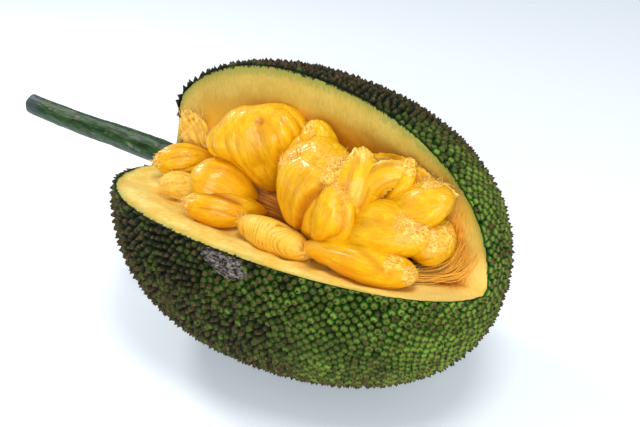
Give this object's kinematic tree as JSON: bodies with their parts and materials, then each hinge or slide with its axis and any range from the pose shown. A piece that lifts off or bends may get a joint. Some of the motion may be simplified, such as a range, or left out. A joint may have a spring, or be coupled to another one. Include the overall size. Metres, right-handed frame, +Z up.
{
  "type": "jackfruit",
  "caption": "Whole ripe jackfruit lying on its side with a long wedge cut out, showing the core, yellow bulbs and rags inside its spiny green rind; stem attached.",
  "frame": {"origin": "on the resting surface, under the middle of the whole object's bounding box, stem included", "axes": "+X along the fruit from the stem to the round tip, +Z up, -Y towards the side where the wedge is cut lowest"},
  "size_m": [0.5566, 0.2523, 0.249],
  "materials": {
    "rind": "dark green spiny rind with brown tips, cream flesh on the cut faces",
    "stem": "waxy dark green bark with grey blotches",
    "core": "fibrous brown core",
    "bulb": "glossy yellow-orange ripe flesh",
    "rag": "pale fibrous rag"
  },
  "bodies": {
    "root": {"rind": "rind", "stem": "stem", "core": "core", "bulb_back": "bulb", "bulb_behind": "bulb", "bulb_centre": "bulb", "bulb_by_stem": "bulb", "bulb_left_upper": "bulb", "bulb_left_lower": "bulb", "bulb_right_large": "bulb", "bulb_right_lower": "bulb", "bulb_right_back": "bulb", "bulb_far_right": "bulb", "bulb_flat": "bulb", "rag_bundle": "rag", "rag_left": "rag", "rag_torn": "rag", "tip_rag_1": "rag", "tip_rag_2": "rag"}
  },
  "joints": []
}
